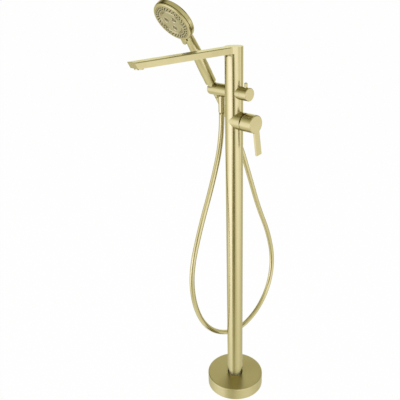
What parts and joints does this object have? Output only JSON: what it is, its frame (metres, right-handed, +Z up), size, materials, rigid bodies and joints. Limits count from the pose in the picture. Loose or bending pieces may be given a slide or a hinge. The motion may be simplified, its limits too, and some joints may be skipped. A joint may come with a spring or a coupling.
{
  "type": "floor standing bath filler",
  "caption": "Free-standing bath filler with a round column on a round base, a flat bar spout, a lever mixer, a diverter knob and a hand shower on a long hose.",
  "frame": {"origin": "centre of the round base on the floor", "axes": "+Z up, the spout points along -Y, the mixer and the diverter face +X, the holder arm points along -X"},
  "size_m": [0.2045, 0.5502, 1.1179],
  "materials": {
    "gold_metal": "brushed pale gold",
    "gold_plastic": "plated, brushed pale gold",
    "raw_brass": "machined",
    "flange_steel": "machined",
    "seal_rubber": "matt",
    "nozzle_rubber": "matt",
    "inner_plastic": "matt",
    "hose_sleeve": "satin gold"
  },
  "bodies": {
    "stand": {"arm_nipple": "raw_brass", "base_cover": "gold_metal", "cartridge_gasket": "seal_rubber", "cartridge_nut": "raw_brass", "clamp_screws": "flange_steel", "cold_pipe": "raw_brass", "column_tube": "gold_metal", "cover_seal": "seal_rubber", "diverter_body": "raw_brass", "diverter_bonnet": "gold_metal", "floor_flange": "flange_steel", "holder_arm": "gold_metal", "holder_bush": "inner_plastic", "hose_nut": "gold_metal", "hot_pipe": "raw_brass", "inlet_block": "raw_brass", "mixed_riser": "raw_brass", "mixer_cartridge": "inner_plastic", "outlet_ferrule": "gold_metal", "outlet_hose_tail": "raw_brass", "outlet_hose_washer": "seal_rubber", "outlet_housing": "gold_metal", "outlet_insert": "inner_plastic", "outlet_nipple": "raw_brass", "outlet_washer": "seal_rubber", "shower_hose": "hose_sleeve", "spindle_seal": "seal_rubber", "spout": "gold_metal", "spout_riser": "raw_brass", "spout_seal": "seal_rubber", "valve_body": "raw_brass"},
    "mixer_rotor": {"cartridge_rotor": "raw_brass", "rotor_pin": "flange_steel"},
    "mixer_lever": {"cartridge_stem": "raw_brass", "mixer_handle": "gold_metal", "handle_screw": "flange_steel", "handle_plug": "gold_plastic"},
    "diverter_control": {"diverter_spindle": "raw_brass", "diverter_knob": "gold_metal", "diverter_pin": "gold_metal"},
    "hose_end": {"cone_nut": "gold_metal", "cone_washer": "seal_rubber", "cone_hose_tail": "raw_brass", "cone_sleeve": "gold_metal"},
    "handset": {"handset_shell": "gold_plastic", "handset_inlet": "inner_plastic", "inlet_filter": "inner_plastic", "spray_face": "gold_plastic", "spray_nozzles": "nozzle_rubber", "spray_distributor": "inner_plastic"},
    "selector": {"selector_ring": "gold_plastic"}
  },
  "joints": [
    {"name": "mixer_turn", "type": "hinge", "parent": "stand", "child": "mixer_rotor", "pos_m": [0.0365, 0, 0.83], "axis": [1, 0, 0], "range_deg": [-59, 41]},
    {"name": "mixer_lift", "type": "hinge", "parent": "mixer_rotor", "child": "mixer_lever", "pos_m": [0.037, 0, 0.83], "axis": [0, -0.9877, -0.1564], "range_deg": [0, 20]},
    {"name": "diverter_turn", "type": "hinge", "parent": "stand", "child": "diverter_control", "pos_m": [0.0403, 0, 0.899], "axis": [1, 0, 0], "range_deg": [0, 90]},
    {"name": "handset_lift", "type": "slide", "parent": "stand", "child": "hose_end", "axis": [0, -0.5075, 0.8616], "range_m": [0, 0.08]},
    {"name": "handset_swivel", "type": "hinge", "parent": "hose_end", "child": "handset", "pos_m": [-0.07, 0, 0.899], "axis": [0, -0.5075, 0.8616], "continuous": true},
    {"name": "spray_select", "type": "hinge", "parent": "handset", "child": "selector", "pos_m": [-0.07, -0.12611, 1.07053], "axis": [0, -0.7986, -0.6018], "range_deg": [-25, 25]}
  ]
}
